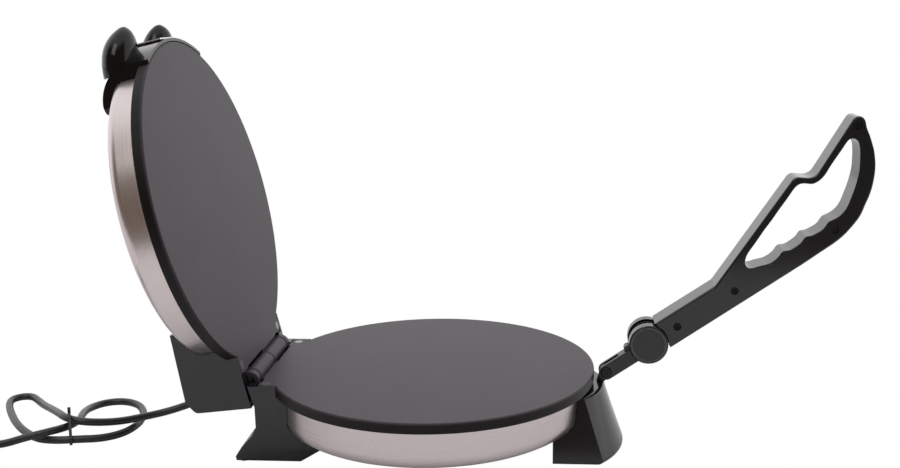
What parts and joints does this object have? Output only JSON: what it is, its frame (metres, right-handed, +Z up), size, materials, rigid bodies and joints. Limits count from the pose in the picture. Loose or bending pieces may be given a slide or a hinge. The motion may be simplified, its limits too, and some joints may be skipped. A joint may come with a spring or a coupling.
{
  "type": "electric roti maker",
  "caption": "Countertop flatbread press: two hinged round cooking plates in steel shells, and a loop-handled lever whose rollers climb a track on the lid.",
  "frame": {"origin": "bottom centre of the box of the appliance without its cord, on the surface it stands on", "axes": "+Z up, +X from the lid's hinge towards the lever, +Y to the far side"},
  "size_m": [0.7463, 0.3036, 0.3277],
  "materials": {
    "cooking_plate": "soft-grey non-stick coating on the cast faces",
    "shell_steel": "finely brushed",
    "heater_sheath": "dull",
    "reflector": "bright",
    "screw_steel": "plated",
    "dark_screw": "blackened",
    "thermostat_metal": "plain",
    "fuse_body": "plain",
    "terminal_plastic": "moulded",
    "black_plastic": "polished black moulding",
    "pad_rubber": "matte",
    "bracket_steel": "plated",
    "pin_steel": "plated",
    "cord_rubber": "smooth black sheath",
    "tie_plastic": "plain",
    "plug_plastic": "moulded",
    "pin_brass": "machined",
    "track_steel": "polished strip",
    "lens_red": "translucent",
    "lens_green": "translucent",
    "arm_metal": "black enamel",
    "roller_plastic": "moulded"
  },
  "bodies": {
    "base": {"lower_plate": "cooking_plate", "lower_shell": "shell_steel", "lower_heating_element": "heater_sheath", "lower_heat_shield": "reflector", "lower_shield_screws": "screw_steel", "thermostat": "thermostat_metal", "thermal_fuse": "fuse_body", "terminal_block": "terminal_plastic", "rear_foot": "black_plastic", "front_foot": "black_plastic", "foot_screws": "screw_steel", "tab_screws": "screw_steel", "foot_pads": "pad_rubber", "lever_lug": "bracket_steel", "lever_pivot_pin": "pin_steel", "lever_pin_clip": "pin_steel", "hinge_pin": "pin_steel", "hinge_clips": "pin_steel", "cord_strain_relief": "cord_rubber", "power_cord": "cord_rubber", "cord_coil": "cord_rubber", "cord_tie": "tie_plastic", "mains_plug": "plug_plastic", "plug_pins": "pin_brass"},
    "lid": {"upper_plate": "cooking_plate", "lid_shell": "shell_steel", "upper_heating_element": "heater_sheath", "upper_heat_shield": "reflector", "upper_shield_screws": "screw_steel", "lid_rear_block": "black_plastic", "lid_tab_screws": "screw_steel", "lid_block_screws": "screw_steel", "lid_front_cap": "black_plastic", "lid_cap_screws": "screw_steel", "roller_track": "track_steel", "power_lamp_lens": "lens_red", "ready_lamp_lens": "lens_green"},
    "lever": {"lever_arm": "arm_metal", "handle_near_half": "black_plastic", "handle_far_half": "black_plastic", "handle_screws": "dark_screw", "roller_axle": "pin_steel"},
    "near_wheel": {"near_roller": "roller_plastic"},
    "far_wheel": {"far_roller": "roller_plastic"}
  },
  "joints": [
    {"name": "lid_hinge", "type": "hinge", "parent": "base", "child": "lid", "pos_m": [-0.1838, 0, 0.062], "axis": [0, 1, 0], "range_deg": [0, 104.2]},
    {"name": "lever_pivot", "type": "hinge", "parent": "base", "child": "lever", "pos_m": [0.0877, 0, 0.05785], "axis": [0, -1, 0], "range_deg": [0, 40.4]},
    {"name": "near_roller_spin", "type": "hinge", "parent": "lever", "child": "near_wheel", "pos_m": [0.11973, -0.0099, 0.08368], "axis": [0, 1, 0], "continuous": true},
    {"name": "far_roller_spin", "type": "hinge", "parent": "lever", "child": "far_wheel", "pos_m": [0.11973, 0.0099, 0.08368], "axis": [0, 1, 0], "continuous": true}
  ]
}
